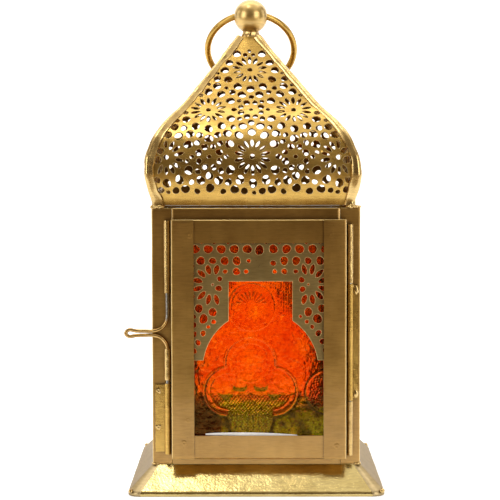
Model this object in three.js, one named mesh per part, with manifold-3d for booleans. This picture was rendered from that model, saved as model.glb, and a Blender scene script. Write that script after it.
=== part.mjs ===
// Square glazed candle lantern with an onion-dome roof, in millimetres, +Z up.
// The origin is the middle of the base's underside and the door faces -Y.
import * as THREE from "three";
import { mergeVertices } from "three/addons/utils/BufferGeometryUtils.js";
import Module from "manifold-3d";

const wasm = await Module();
wasm.setup();

// Driving dimensions
const GAP = 0.3; // clearance between soldered or resting pieces
const SHEET = 0.8; // frame and roof sheet
const THIN_SHEET = 0.6; // fretwork, clips, ledges and leaves
const BODY_HALF = 50; // half the square body
const BODY_BOTTOM = 13.7;
const BODY_TOP = 137.3;
const BASE_HALF = 61.4;
const BASE_LIP = 2.3; // upright edge round the base
const BASE_TOP = 13.4;
const BASE_CORNER = { foot: 6, top: 3, steps: 5 }; // plan radius of the rounded corners
const DECK_HALF = 48.5;
const POST_LEG = 9.4;
const TOP_RAIL_HEIGHT = 5.6;
const RAIL_RETURN = 7; // inward fold on a top rail
const FRONT_SILL_HEIGHT = 2.4;
const SIDE_SILL_HEIGHT = 5.8;

const CUP = { rimRadius: 23, footRadius: 20.3, height: 7, wall: 0.7 };

const DOOR = {
  left: -40.4,
  right: 43,
  bottom: 17.3,
  top: 132,
  front: -57.5,
  back: -50.3,
  stileWidth: 10.8,
  railHeight: 11.2,
};
const PANE = { left: -34, right: 36.5, bottom: 23, top: 126.5, front: -54.4, thickness: 3 };
const SIDE_PANE = { half: 44, bottom: 20.8, top: 133, front: -48, thickness: 3 };
const CLIP = { width: 6, leftX: -22, rightX: 25, foot: 4.2, grip: 5 };
const LEDGE = { inset: 1, foot: 1, upstand: 5 };

// The stepped keyhole cut in every fretwork sheet, and the round holes beside it
const KEYHOLE = { neckHalf: 15.2, neckTop: 102.5, bulbRadius: 27.6, bulbZ: 60.6, stepZ: 64.7 };
const WINDOW = { half: 30.9, bottom: 27.7 };
const DOOR_WINDOW_X = 1.3; // the door's window stands off the lantern's middle plane
const DOOR_KEYHOLE_X = 2.1;
const HOLE_ROW = { radius: 2, pitch: 5.4, z: 113, eachWay: 5 };
const HOLE_COLUMN = { radius: 2, pitch: 6.5, x: 23.5, topZ: 105.5, count: 4 };

const HINGE = { x: 44.9, y: -51.8, bottom: 18.3, lowBreak: 44.6, highBreak: 101.1, top: 129.4, halfGap: 0.2 };
const KNUCKLE = { outer: 1.55, bore: 1.1 };
const PIN = { radius: 0.8, inset: 0.5 };
const LEAF = { outerX: 49, inset: 2, start: 0.9 }; // start is measured from the tube's axis
const TUBE_SEGMENTS = 12;

const LATCH = { x: -42.4, y: -51.8, wireRadius: 0.9, wireTop: 118, wireBottom: 43, handleZ: 77.4, tipX: -20 };
const LATCH_STRAIGHTS = { above: [105, 92], below: [62, 52] };
// Upper half of the handle: distances from the wire's own line and from the handle's middle
const HANDLE_BEND = [[0, 8.6], [-0.7, 5.2], [-3.2, 2.2], [-7, 1.02], [-11, 1], [-15, 1.1], [-18.4, 1.6]];
const WIRE_STEPS = 76;
const GUIDE = { outer: 1.55, neck: 1.4, bore: 1.15 };
const UPPER_GUIDE = { bottom: 96.7, shoulder: 104, top: 131.4 };
const LOWER_GUIDE = { bottom: 54.8, top: 69.9 };
const KEEPER = { bottom: 18.9, top: 53.1, leafOuterX: -48.7, leafInset: 1 };

// Half-width of the roof at each height
const ROOF_PROFILE = [
  [47.2, 138.5], [47.5, 141.5], [48.9, 145.6], [50.4, 152], [50.4, 157], [49.9, 161.2], [48.4, 165.5],
  [45.9, 171.2], [40.6, 178.4], [32, 187], [22.5, 198.8], [14, 209.3], [5, 221.2],
];
// The hand-fitted roof stands a little to the left, and leans further left as it rises
const ROOF_LEAN = { eavesX: -1, perHeight: -0.028 };
const FINIAL_X = -2.4;
const ROOF_SAMPLES = 22;
const HIP = { half: 1.2, proud: 0.9, depth: 1.3 };
const SEAT = { outer: 47, inner: 42, bottom: 137.6, top: 138.2 };
const COLLAR = { radius: 5.2, topRadius: 4.2, bore: 2.7, bottom: 221.9, top: 222.8 };
const BALL = { z: 231.4, radius: 8.5, bore: 2.75, stemRadius: 2.2, stemBottom: 212, stemInset: 1 };
const RING = { radius: 22.05, wire: 1.65, reach: 21.25, leanDeg: 41 };

const SIDES = ["front", "right", "back", "left"]; // each a quarter turn on from the last
const CORNERS = ["front_left", "front_right", "back_right", "back_left"];

const FINISHES = {
  goldPaint: { color: 0xa07a3c, roughness: 0.38, metalness: 0.85 },
  brightGold: { color: 0xd9b25a, roughness: 0.3, metalness: 0.9 },
  bareSteel: { color: 0x8d8a80, roughness: 0.4, metalness: 0.9 },
  amberGlass: { color: 0xd8481c, roughness: 0.15, metalness: 0 },
};

const lantern = new THREE.Group();

function addPiece(name, geometry, finish) {
  const mesh = new THREE.Mesh(geometry, new THREE.MeshStandardMaterial(FINISHES[finish]));
  mesh.name = name;
  lantern.add(mesh);
  return mesh;
}

// Booleans

function toSolid(geometry) {
  const bare = geometry.clone();
  bare.deleteAttribute("normal");
  bare.deleteAttribute("uv");
  const merged = mergeVertices(bare, 1e-4);
  const corners = merged.index.array;
  const kept = [];
  for (let i = 0; i < corners.length; i += 3) {
    const [a, b, c] = [corners[i], corners[i + 1], corners[i + 2]];
    if (a !== b && b !== c && c !== a) kept.push(a, b, c);
  }
  const vertProperties = new Float32Array(merged.attributes.position.array);
  return new wasm.Manifold(
    new wasm.Mesh({ numProp: 3, vertProperties, triVerts: new Uint32Array(kept) }),
  );
}

function toGeometry(solid) {
  const mesh = solid.getMesh();
  const geometry = new THREE.BufferGeometry();
  geometry.setAttribute("position", new THREE.BufferAttribute(mesh.vertProperties, 3));
  geometry.setIndex(new THREE.BufferAttribute(mesh.triVerts, 1));
  return geometry;
}

function unite(a, b) {
  return toGeometry(toSolid(a).add(toSolid(b)));
}

function cut(a, b) {
  return toGeometry(toSolid(a).subtract(toSolid(b)));
}

function overlap(a, b) {
  return toGeometry(toSolid(a).intersect(toSolid(b)));
}

// Basic solids

// A box between two values of each coordinate, given in either order
function block(x, y, z) {
  const sizes = [x, y, z].map(([a, b]) => Math.abs(b - a));
  const centre = [x, y, z].map(([a, b]) => (a + b) / 2);
  return new THREE.BoxGeometry(...sizes).translate(...centre);
}

function outline(points) {
  return new THREE.Shape(points.map(([u, v]) => new THREE.Vector2(u, v)));
}

// An outline in X and Z, as thick as given, its front face at y
function upright(shape, y, thickness, curveSegments = 8) {
  const geometry = new THREE.ExtrudeGeometry(shape, {
    depth: thickness,
    bevelEnabled: false,
    curveSegments,
  });
  return geometry.rotateX(Math.PI / 2).translate(0, y + thickness, 0);
}

// An outline of (distance in front of the middle, height), swept from x = -half to half
function swept(points, half) {
  const geometry = new THREE.ExtrudeGeometry(outline(points), { depth: 2 * half, bevelEnabled: false });
  const axes = new THREE.Matrix4().makeBasis(
    new THREE.Vector3(0, -1, 0),
    new THREE.Vector3(0, 0, 1),
    new THREE.Vector3(-1, 0, 0),
  );
  return geometry.applyMatrix4(axes).translate(half, 0, 0);
}

// A solid skinned over level rings of points, from the lowest ring to the highest
function lofted(rings) {
  const count = rings[0].length;
  const last = (rings.length - 1) * count;
  const faces = [];
  for (let i = 0; i + 1 < rings.length; i++) {
    for (let j = 0; j < count; j++) {
      const a = i * count + j;
      const b = i * count + ((j + 1) % count);
      faces.push(a, b, b + count, a, b + count, a + count);
    }
  }
  for (let j = 1; j + 1 < count; j++) {
    faces.push(0, j + 1, j, last, last + j, last + j + 1);
  }
  const geometry = new THREE.BufferGeometry();
  geometry.setAttribute("position", new THREE.Float32BufferAttribute(rings.flat(2), 3));
  geometry.setIndex(faces);
  return geometry;
}

function turned(points, segments) {
  const profile = points.map(([r, z]) => new THREE.Vector2(r, z));
  return new THREE.LatheGeometry(profile, segments).rotateX(Math.PI / 2);
}

function tube(bore, outer, bottom, top) {
  return turned([[bore, bottom], [outer, bottom], [outer, top], [bore, top], [bore, bottom]], TUBE_SEGMENTS);
}

function rod(radius, bottom, top, sides = TUBE_SEGMENTS) {
  const geometry = new THREE.CylinderGeometry(radius, radius, top - bottom, sides);
  return geometry.rotateX(Math.PI / 2).translate(0, 0, (bottom + top) / 2);
}

// Moves every point of an open profile sideways; positive is away from the middle
function offsetProfile(points, distance) {
  return points.map(([u, v], i) => {
    const [u0, v0] = points[Math.max(i - 1, 0)];
    const [u1, v1] = points[Math.min(i + 1, points.length - 1)];
    const length = Math.hypot(u1 - u0, v1 - v0);
    return [u + ((v1 - v0) / length) * distance, v - ((u1 - u0) / length) * distance];
  });
}

// The wedge of space in front of the middle, mitred at 45 degrees, clear of each diagonal
function mitreWedge(clearance, bottom, top) {
  const apex = -clearance * Math.SQRT2;
  const reach = 1.2 * BASE_HALF;
  const shape = outline([[0, apex], [-reach, apex - reach], [reach, apex - reach]]);
  const geometry = new THREE.ExtrudeGeometry(shape, { depth: top - bottom, bevelEnabled: false });
  return geometry.translate(0, 0, bottom);
}

// A bent sheet along one side, its ends mitred so as to stop short of each diagonal
function mitredStrip(profile, thickness, clearance) {
  const inner = offsetProfile(profile, -thickness).reverse();
  const heights = profile.map(([, z]) => z);
  const low = Math.min(...heights) - thickness;
  const high = Math.max(...heights) + thickness;
  return overlap(swept([...profile, ...inner], BASE_HALF + GAP), mitreWedge(clearance, low, high));
}

function onEachSide(make, sides = SIDES) {
  for (const side of sides) {
    make(side).rotation.z = (SIDES.indexOf(side) * Math.PI) / 2;
  }
}

// Base and candle cup

// A level square ring of points with rounded corners
function roundedSquare(half, radius, z) {
  const signs = [[1, 1], [-1, 1], [-1, -1], [1, -1]];
  const points = [];
  signs.forEach(([sx, sy], corner) => {
    for (let i = 0; i <= BASE_CORNER.steps; i++) {
      const angle = ((corner + i / BASE_CORNER.steps) * Math.PI) / 2;
      const x = sx * (half - radius) + radius * Math.cos(angle);
      const y = sy * (half - radius) + radius * Math.sin(angle);
      points.push([x, y, z]);
    }
  });
  return points;
}

// The whole sloped base as one hollow shell
function baseShell() {
  const profile = [[BASE_HALF, 0], [BASE_HALF, BASE_LIP], [BODY_HALF, BASE_TOP]];
  const radii = [BASE_CORNER.foot, BASE_CORNER.foot, BASE_CORNER.top];
  const inner = offsetProfile(profile, -SHEET);
  const innerRadii = inner.map(([half], i) => radii[i] + half - profile[i][0]);
  const hollow = inner.map(([half, z], i) => roundedSquare(half, innerRadii[i], z));
  hollow.unshift(roundedSquare(inner[0][0], innerRadii[0], -GAP));
  hollow.push(roundedSquare(inner[2][0], innerRadii[2], BASE_TOP + GAP));
  return cut(lofted(profile.map(([half, z], i) => roundedSquare(half, radii[i], z))), lofted(hollow));
}

// The space between the seams of the front and back skirts, grown by a margin; it runs along X
function seamPrism(margin) {
  const foot = BASE_HALF - BASE_CORNER.foot + margin;
  const top = BODY_HALF - BASE_CORNER.top + margin;
  const halfOutline = [[foot, -GAP], [foot, BASE_LIP], [top, BASE_TOP], [top, BASE_TOP + GAP]];
  const mirrored = halfOutline.map(([u, v]) => [-u, v]).reverse();
  return swept([...halfOutline, ...mirrored], BASE_HALF + GAP);
}

// The front and back skirts are flat; the other two wrap round the corners to meet them
function addBase() {
  const reach = BASE_HALF + GAP;
  const frontHalf = block([-reach, reach], [-reach, 0], [-GAP, BASE_TOP + GAP]);
  const shell = overlap(baseShell(), frontHalf);
  const flat = overlap(shell, seamPrism(-GAP / 2).rotateZ(Math.PI / 2));
  const wrapped = cut(shell, seamPrism(GAP / 2));
  onEachSide((side) => addPiece(`base_skirt_${side}`, flat, "brightGold"), ["front", "back"]);
  onEachSide((side) => addPiece(`base_skirt_${side}`, wrapped, "brightGold"), ["left", "right"]);
  const span = [-DECK_HALF, DECK_HALF];
  addPiece("deck_plate", block(span, span, [BASE_TOP - SHEET, BASE_TOP]), "goldPaint");
}

function addCup() {
  const { rimRadius, footRadius, height, wall } = CUP;
  const rim = BODY_BOTTOM + height;
  const profile = [
    [0, BODY_BOTTOM], [footRadius, BODY_BOTTOM], [rimRadius, rim],
    [rimRadius - wall, rim], [footRadius - wall, BODY_BOTTOM + wall], [0, BODY_BOTTOM + wall],
  ];
  addPiece("candle_cup", turned(profile, 32), "brightGold");
}

// Body frame

function cornerPost() {
  const outer = -BODY_HALF;
  const inner = outer + SHEET;
  const end = outer + POST_LEG;
  const corners = [[outer, outer], [end, outer], [end, inner], [inner, inner], [inner, end], [outer, end]];
  const depth = BODY_TOP - BODY_BOTTOM;
  const geometry = new THREE.ExtrudeGeometry(outline(corners), { depth, bevelEnabled: false });
  return geometry.translate(0, 0, BODY_BOTTOM);
}

function addBodyFrame() {
  const post = cornerPost();
  CORNERS.forEach((corner, i) => {
    addPiece(`corner_post_${corner}`, post, "goldPaint").rotation.z = (i * Math.PI) / 2;
  });
  const half = BODY_HALF - POST_LEG - GAP;
  const front = BODY_HALF;
  const topRail = swept(
    [
      [front, BODY_TOP - TOP_RAIL_HEIGHT], [front, BODY_TOP], [front - RAIL_RETURN, BODY_TOP],
      [front - RAIL_RETURN, BODY_TOP - SHEET], [front - SHEET, BODY_TOP - SHEET],
      [front - SHEET, BODY_TOP - TOP_RAIL_HEIGHT],
    ],
    half,
  );
  onEachSide((side) => addPiece(`top_rail_${side}`, topRail, "goldPaint"));
  onEachSide((side) => {
    const height = side === "front" ? FRONT_SILL_HEIGHT : SIDE_SILL_HEIGHT;
    const sill = block([-half, half], [-front, SHEET - front], [BODY_BOTTOM, BODY_BOTTOM + height]);
    return addPiece(`bottom_rail_${side}`, sill, "goldPaint");
  });
}

// Fretwork sheets: a rectangle with the stepped keyhole and round holes cut in it

function keyhole(x, windowX) {
  const { neckHalf, neckTop, bulbRadius, bulbZ, stepZ } = KEYHOLE;
  const neckAngle = Math.acos(neckHalf / bulbRadius);
  const stepAngle = Math.asin((stepZ - bulbZ) / bulbRadius);
  const path = new THREE.Path();
  path.moveTo(windowX - WINDOW.half, WINDOW.bottom);
  path.lineTo(windowX + WINDOW.half, WINDOW.bottom);
  path.lineTo(windowX + WINDOW.half, stepZ);
  path.absarc(x, bulbZ, bulbRadius, stepAngle, neckAngle, false);
  path.lineTo(x + neckHalf, neckTop);
  path.lineTo(x - neckHalf, neckTop);
  path.absarc(x, bulbZ, bulbRadius, Math.PI - neckAngle, Math.PI - stepAngle, false);
  path.lineTo(windowX - WINDOW.half, stepZ);
  path.closePath();
  return path;
}

function roundHole(u, v, radius) {
  const path = new THREE.Path();
  path.absarc(u, v, radius, 0, 2 * Math.PI, true);
  return path;
}

// A row of round holes above the keyhole's neck and a column down each side of it
function fretHoles(x) {
  const holes = [];
  for (let i = -HOLE_ROW.eachWay; i <= HOLE_ROW.eachWay; i++) {
    holes.push(roundHole(x + i * HOLE_ROW.pitch, HOLE_ROW.z, HOLE_ROW.radius));
  }
  for (const side of [-1, 1]) {
    for (let i = 0; i < HOLE_COLUMN.count; i++) {
      const z = HOLE_COLUMN.topZ - i * HOLE_COLUMN.pitch;
      holes.push(roundHole(x + side * HOLE_COLUMN.x, z, HOLE_COLUMN.radius));
    }
  }
  return holes;
}

function fretwork({ left, right, bottom, top, front }, keyholeX, windowX) {
  const shape = outline([[left, bottom], [right, bottom], [right, top], [left, top]]);
  shape.holes.push(keyhole(keyholeX, windowX), ...fretHoles(keyholeX));
  return upright(shape, front - GAP - THIN_SHEET, THIN_SHEET, 4);
}

// Fixed panes on the other three sides

function addFixedPanes() {
  const { half, bottom, top, front, thickness } = SIDE_PANE;
  const fret = fretwork({ left: -half, right: half, bottom, top, front }, 0, 0);
  const glass = block([-half, half], [front, front + thickness], [bottom, top]);
  const back = -(front + thickness + GAP);
  const seat = bottom - GAP;
  const toe = -front + LEDGE.foot;
  const ledge = swept(
    [
      [toe, seat - THIN_SHEET], [toe, seat], [back, seat], [back, bottom + LEDGE.upstand],
      [back - THIN_SHEET, bottom + LEDGE.upstand], [back - THIN_SHEET, seat - THIN_SHEET],
    ],
    BODY_HALF - POST_LEG - LEDGE.inset,
  );
  const fixedSides = SIDES.slice(1);
  onEachSide((side) => addPiece(`fretwork_${side}`, fret, "goldPaint"), fixedSides);
  onEachSide((side) => addPiece(`glass_${side}`, glass, "amberGlass"), fixedSides);
  onEachSide((side) => addPiece(`pane_ledge_${side}`, ledge, "goldPaint"), fixedSides);
}

// Door

// A strip with its outer edge folded back to the body
function doorStile(outerX, innerX) {
  const { front, back, bottom, top } = DOOR;
  const foldX = outerX + Math.sign(innerX - outerX) * SHEET;
  const face = block([outerX, innerX], [front, front + SHEET], [bottom, top]);
  return unite(face, block([outerX, foldX], [front, back], [bottom, top]));
}

// The same, lying behind the stiles
function doorRail(outerZ, innerZ) {
  const { front, back, left, right } = DOOR;
  const x = [left + SHEET + GAP, right - SHEET - GAP];
  const near = front + SHEET + GAP;
  const foldZ = outerZ + Math.sign(innerZ - outerZ) * SHEET;
  const face = block(x, [near, near + SHEET], [outerZ, innerZ]);
  return unite(face, block(x, [near, back], [outerZ, foldZ]));
}

function addDoorFrame() {
  const { left, right, bottom, top, stileWidth, railHeight } = DOOR;
  addPiece("door_stile_left", doorStile(left, left + stileWidth), "goldPaint");
  addPiece("door_stile_right", doorStile(right, right - stileWidth), "goldPaint");
  addPiece("door_rail_top", doorRail(top, top - railHeight), "goldPaint");
  addPiece("door_rail_bottom", doorRail(bottom, bottom + railHeight), "goldPaint");
}

function addDoorPane() {
  const { left, right, bottom, top, front, thickness } = PANE;
  addPiece("door_fretwork", fretwork(PANE, DOOR_KEYHOLE_X, DOOR_WINDOW_X), "goldPaint");
  addPiece("door_glass", block([left, right], [front, front + thickness], [bottom, top]), "amberGlass");
}

// A bent strip, soldered behind a rail, that folds over the edge of the door's pane
function addDoorClips() {
  const { front, thickness, bottom, top } = PANE;
  const toe = -front + GAP + THIN_SHEET;
  const back = -(front + thickness + GAP);
  const profile = [
    [toe, CLIP.foot], [toe, GAP], [back, GAP], [back, -CLIP.grip], [back - THIN_SHEET, -CLIP.grip],
    [back - THIN_SHEET, GAP + THIN_SHEET], [toe - THIN_SHEET, GAP + THIN_SHEET],
    [toe - THIN_SHEET, CLIP.foot],
  ];
  const clip = swept(profile, CLIP.width / 2);
  for (const [side, x] of [["left", CLIP.leftX], ["right", CLIP.rightX]]) {
    addPiece(`door_clip_top_${side}`, clip, "bareSteel").position.set(x, 0, top);
    const lower = addPiece(`door_clip_bottom_${side}`, clip, "bareSteel");
    lower.rotation.y = Math.PI;
    lower.position.set(x, 0, bottom);
  }
}

// Hinge: knuckles on the door above and below, and one with a leaf on the post between

// A leaf of thin sheet lying on the post, from a tube's axis to outerX
function postLeaf(axisX, outerX, bottom, top) {
  const back = -BODY_HALF - GAP;
  const innerX = axisX + Math.sign(outerX - axisX) * LEAF.start;
  return block([innerX, outerX], [back - THIN_SHEET, back], [bottom, top]);
}

function addHinge() {
  const { x, y, bottom, lowBreak, highBreak, top, halfGap } = HINGE;
  const { outer, bore } = KNUCKLE;
  const middle = tube(bore, outer, lowBreak + halfGap, highBreak - halfGap).translate(x, y, 0);
  const leaf = postLeaf(x, LEAF.outerX, lowBreak + LEAF.inset, highBreak - LEAF.inset);
  const knuckles = [
    ["hinge_knuckle_top", highBreak + halfGap, top],
    ["hinge_knuckle_bottom", bottom, lowBreak - halfGap],
  ];
  for (const [name, low, high] of knuckles) {
    addPiece(name, tube(bore, outer, low, high), "brightGold").position.set(x, y, 0);
  }
  addPiece("hinge_leaf_middle", unite(middle, leaf), "brightGold");
  const pin = rod(PIN.radius, bottom + PIN.inset, top - PIN.inset);
  addPiece("hinge_pin", pin, "bareSteel").position.set(x, y, 0);
}

// Latch: a bent wire that slides in two tubes on the door and drops into one on the post

class LatchWirePath extends THREE.CatmullRomCurve3 {
  constructor() {
    const { x, y, wireTop, wireBottom, handleZ, tipX } = LATCH;
    const upper = HANDLE_BEND.map(([dx, dz]) => [x + dx, handleZ + dz]);
    const lower = HANDLE_BEND.map(([dx, dz]) => [x + dx, handleZ - dz]).reverse();
    const straight = (heights) => heights.map((z) => [x, z]);
    const route = [
      [x, wireTop],
      ...straight(LATCH_STRAIGHTS.above),
      ...upper,
      [x + tipX, handleZ],
      ...lower,
      ...straight(LATCH_STRAIGHTS.below),
      [x, wireBottom],
    ];
    super(route.map(([u, v]) => new THREE.Vector3(u, y, v)));
  }
}

function latchWire() {
  const section = new THREE.Shape();
  section.absarc(0, 0, LATCH.wireRadius, 0, 2 * Math.PI, false);
  return new THREE.ExtrudeGeometry(section, {
    steps: WIRE_STEPS,
    curveSegments: 4,
    bevelEnabled: false,
    extrudePath: new LatchWirePath(),
  });
}

function addLatch() {
  const { x, y } = LATCH;
  const { outer, neck, bore } = GUIDE;
  const { bottom, shoulder, top } = UPPER_GUIDE;
  const profile = [
    [bore, bottom], [neck, bottom], [neck, shoulder], [outer, shoulder],
    [outer, top], [bore, top], [bore, bottom],
  ];
  addPiece("latch_guide_upper", turned(profile, TUBE_SEGMENTS), "brightGold").position.set(x, y, 0);
  const lower = tube(bore, outer, LOWER_GUIDE.bottom, LOWER_GUIDE.top);
  addPiece("latch_guide_lower", lower, "brightGold").position.set(x, y, 0);
  const keeper = tube(bore, outer, KEEPER.bottom, KEEPER.top).translate(x, y, 0);
  const leaf = postLeaf(x, KEEPER.leafOuterX, KEEPER.bottom + KEEPER.leafInset, KEEPER.top);
  addPiece("latch_keeper", unite(keeper, leaf), "brightGold");
  addPiece("latch_wire", latchWire(), "bareSteel");
}

// Roof

function roofCurve(widthScale) {
  const curve = new THREE.SplineCurve(ROOF_PROFILE.map(([w, z]) => new THREE.Vector2(w * widthScale, z)));
  return curve.getSpacedPoints(ROOF_SAMPLES).map((p) => [p.x, p.y]);
}

function square(half) {
  return [[-half, -half], [half, -half], [half, half], [-half, half]];
}

// Turns a roof piece into place, then makes it lean with the rest of the roof
function leaned(geometry, turn) {
  const { eavesX, perHeight } = ROOF_LEAN;
  const offset = eavesX - perHeight * ROOF_PROFILE[0][1];
  const shear = new THREE.Matrix4().set(1, 0, perHeight, offset, 0, 1, 0, 0, 0, 0, 1, 0, 0, 0, 0, 1);
  return geometry.clone().rotateZ(turn).applyMatrix4(shear);
}

function addRoof() {
  const panel = mitredStrip(roofCurve(1), SHEET, HIP.half + GAP);
  SIDES.forEach((side, i) => {
    addPiece(`roof_panel_${side}`, leaned(panel, (i * Math.PI) / 2), "brightGold");
  });
  const ridge = roofCurve(Math.SQRT2);
  const under = offsetProfile(ridge, -HIP.depth).reverse();
  const hip = swept([...offsetProfile(ridge, HIP.proud), ...under], HIP.half);
  CORNERS.forEach((corner, i) => {
    addPiece(`roof_hip_${corner}`, leaned(hip, ((i - 0.5) * Math.PI) / 2), "brightGold");
  });
  const seat = outline(square(SEAT.outer));
  seat.holes.push(outline(square(SEAT.inner).reverse()));
  const seatRing = new THREE.ExtrudeGeometry(seat, { depth: SEAT.top - SEAT.bottom, bevelEnabled: false });
  addPiece("roof_seat", seatRing.translate(0, 0, SEAT.bottom), "goldPaint");
}

// Finial and carrying ring

function addFinial() {
  const { radius, topRadius, bore, bottom, top } = COLLAR;
  const profile = [[bore, bottom], [radius, bottom], [topRadius, top], [bore, top], [bore, bottom]];
  addPiece("finial_collar", turned(profile, 16), "brightGold").position.x = FINIAL_X;
  const sphere = new THREE.SphereGeometry(BALL.radius, 20, 14).rotateX(Math.PI / 2).translate(0, 0, BALL.z);
  const stem = rod(BALL.stemRadius, BALL.stemBottom, BALL.z - BALL.bore - BALL.stemInset);
  const drill = rod(BALL.bore, -BALL.radius - GAP, BALL.radius + GAP, 16);
  const crossBore = drill.rotateY(Math.PI / 2).translate(0, 0, BALL.z);
  addPiece("finial_ball", cut(unite(sphere, stem), crossBore), "brightGold").position.x = FINIAL_X;
}

function addCarryRing() {
  const lean = THREE.MathUtils.degToRad(RING.leanDeg);
  const ring = addPiece("carry_ring", new THREE.TorusGeometry(RING.radius, RING.wire, 10, 44), "brightGold");
  ring.rotation.x = lean - Math.PI / 2;
  ring.position.set(FINIAL_X, RING.reach * Math.sin(lean), BALL.z - RING.reach * Math.cos(lean));
}

addBase();
addCup();
addBodyFrame();
addFixedPanes();
addDoorFrame();
addDoorPane();
addDoorClips();
addHinge();
addLatch();
addRoof();
addFinial();
addCarryRing();

export default lantern;
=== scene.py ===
"""The look of the gold candle lantern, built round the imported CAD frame. The builders work in mm."""
import itertools
import math

import bmesh
import bpy
import numpy as np
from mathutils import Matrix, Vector
from mathutils.geometry import delaunay_2d_cdt


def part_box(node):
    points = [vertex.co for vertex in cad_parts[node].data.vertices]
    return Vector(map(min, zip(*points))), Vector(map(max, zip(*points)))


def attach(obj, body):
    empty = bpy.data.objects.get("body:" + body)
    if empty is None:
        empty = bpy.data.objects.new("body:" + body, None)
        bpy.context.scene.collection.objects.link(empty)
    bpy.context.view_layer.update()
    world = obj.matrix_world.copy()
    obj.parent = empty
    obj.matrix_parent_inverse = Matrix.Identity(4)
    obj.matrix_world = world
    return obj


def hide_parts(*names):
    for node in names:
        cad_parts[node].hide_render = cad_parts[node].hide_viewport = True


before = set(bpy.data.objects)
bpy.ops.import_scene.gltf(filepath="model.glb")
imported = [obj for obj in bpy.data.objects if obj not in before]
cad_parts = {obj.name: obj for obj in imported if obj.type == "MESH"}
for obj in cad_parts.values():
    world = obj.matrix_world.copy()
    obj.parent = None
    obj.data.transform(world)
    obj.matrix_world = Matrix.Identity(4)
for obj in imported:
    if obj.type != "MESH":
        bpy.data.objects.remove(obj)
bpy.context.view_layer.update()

MM = 0.001
SIDES = ["front", "right", "back", "left"]  # each a quarter turn on from the last
CORNERS = ["front_left", "front_right", "back_right", "back_left"]

# Camera, in metres and degrees
CAMERA_PLACE = (-0.00066, -0.8586, 0.1724)
CAMERA_TURN = (86.088, 0.11, 0.148)
CAMERA_LENS = 122.0

# Half-width of the roof at each height, its lean to the left and the finial's place, as in the CAD
ROOF_PROFILE = [
    (47.2, 138.5), (47.5, 141.5), (48.9, 145.6), (50.4, 152), (50.4, 157), (49.9, 161.2), (48.4, 165.5),
    (45.9, 171.2), (40.6, 178.4), (32, 187), (22.5, 198.8), (14, 209.3), (5, 221.2),
]
ROOF_EAVES_X, ROOF_LEAN = -1.0, -0.028
FINIAL_X = -2.4
ROSETTE_HEIGHTS = (161.5, 183.7, 203.8)  # rows of rosettes on the roof
ROSETTE_PITCH = 41.2

# The keyhole in each fretwork sheet, as in the CAD
NECK_HALF, NECK_TOP = 15.2, 102.5
BULB_RADIUS, BULB_Z, STEP_Z = 27.6, 60.6, 64.7
WINDOW_HALF, WINDOW_BOTTOM, WINDOW_TOP = 30.9, 27.7, 120.8
DOOR_WINDOW_X, DOOR_KEYHOLE_X = 1.3, 2.1

# The pattern pressed in the glass, about its own middle: circles are (x, z, radius)
TREFOIL = [(-10.7, 49.7, 11.4), (10.7, 49.7, 11.4), (0, 63.5, 12)]
MEDALLION = (0.5, 90.4, 11.5)
ROUNDEL = (37, 49.2, 10.4)

# Metal: sheet thickness, the bores and outside radius of the rolled tubes, wire radii, and the leaves' faces
SHEET = 0.8
PIN_BORE, WIRE_BORE, TUBE_RADIUS = 1.12, 1.16, 1.5
LATCH_RADIUS, RING_RADIUS = 0.9, 1.65
HANDLE_Z = 77.4
LEAF_FRONT, LEAF_BACK = -51.15, -50.2
MITRE_GAP = 0.06


# Small geometry tools


def cad(node):
    """A CAD node's lowest and highest corner, in mm."""
    low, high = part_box(node)
    return np.array(low) / MM, np.array(high) / MM


def facing_box(node, turns):
    """A side node's box, as if it had been turned round to the front."""
    corners = turn_z(cad(node), -turns)
    return corners.min(0), corners.max(0)


def clamp(values):
    """The values, held between 0 and 1."""
    return np.clip(values, 0, 1)


def value_noise(points, wavelength, seed):
    """Smooth noise from -1 to 1 at each point."""
    scaled = np.asarray(points, float) / wavelength
    cell = np.floor(scaled).astype(np.int64)
    share = scaled - cell
    share = share * share * (3 - 2 * share)
    total = np.zeros(len(scaled))
    for corner in itertools.product((0, 1), repeat=3):
        c = cell + np.array(corner)
        mixed = c[:, 0] * 73856093 ^ c[:, 1] * 19349663 ^ c[:, 2] * 83492791 ^ (seed + 7) * 265443
        mixed = ((mixed ^ (mixed >> 13)) * 1274126177) & 0x7FFFFFFF
        weight = np.prod(np.where(np.array(corner, bool), share, 1 - share), axis=1)
        total += ((mixed % 20011) / 10005.5 - 1) * weight
    return total


def noise_at(point, wavelength, seed):
    return value_noise(np.array([point]), wavelength, seed)[0]


def turn_z(points, quarter_turns):
    angle = quarter_turns * math.pi / 2
    c, s = math.cos(angle), math.sin(angle)
    x, y, z = np.asarray(points, float).T
    return np.stack([x * c - y * s, x * s + y * c, z], 1)


def turn_shape(shape, quarter_turns):
    """A shape, which is (vertices, faces), turned about Z."""
    return turn_z(shape[0], quarter_turns), shape[1]


def full_turn(count):
    """Angles evenly round a circle."""
    return np.arange(count) * 2 * math.pi / count


def tangents(path):
    """Unit directions along a path."""
    along = np.gradient(path, axis=0)
    return along / np.linalg.norm(along, axis=1)[:, None]


def outward(path):
    """Unit directions to the right of a flat path."""
    along = tangents(path)
    return np.stack([along[:, 1], -along[:, 0]], 1)


def lean(points):
    """Leans roof points over with the roof."""
    points = np.array(points, float)
    points[:, 0] += ROOF_EAVES_X + ROOF_LEAN * (points[:, 2] - ROOF_PROFILE[0][1])
    return points


def loft(rings, joined=False):
    """Vertices and faces of a closed skin through rings of equal length."""
    count = len(rings[0])
    faces = []
    for i in range(len(rings) if joined else len(rings) - 1):
        a, b = i * count, (i + 1) % len(rings) * count
        faces += [(a + j, a + (j + 1) % count, b + (j + 1) % count, b + j) for j in range(count)]
    if not joined:
        last = (len(rings) - 1) * count
        faces += [tuple(range(count))[::-1], tuple(range(last, last + count))]
    return np.concatenate(rings), faces


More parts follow.
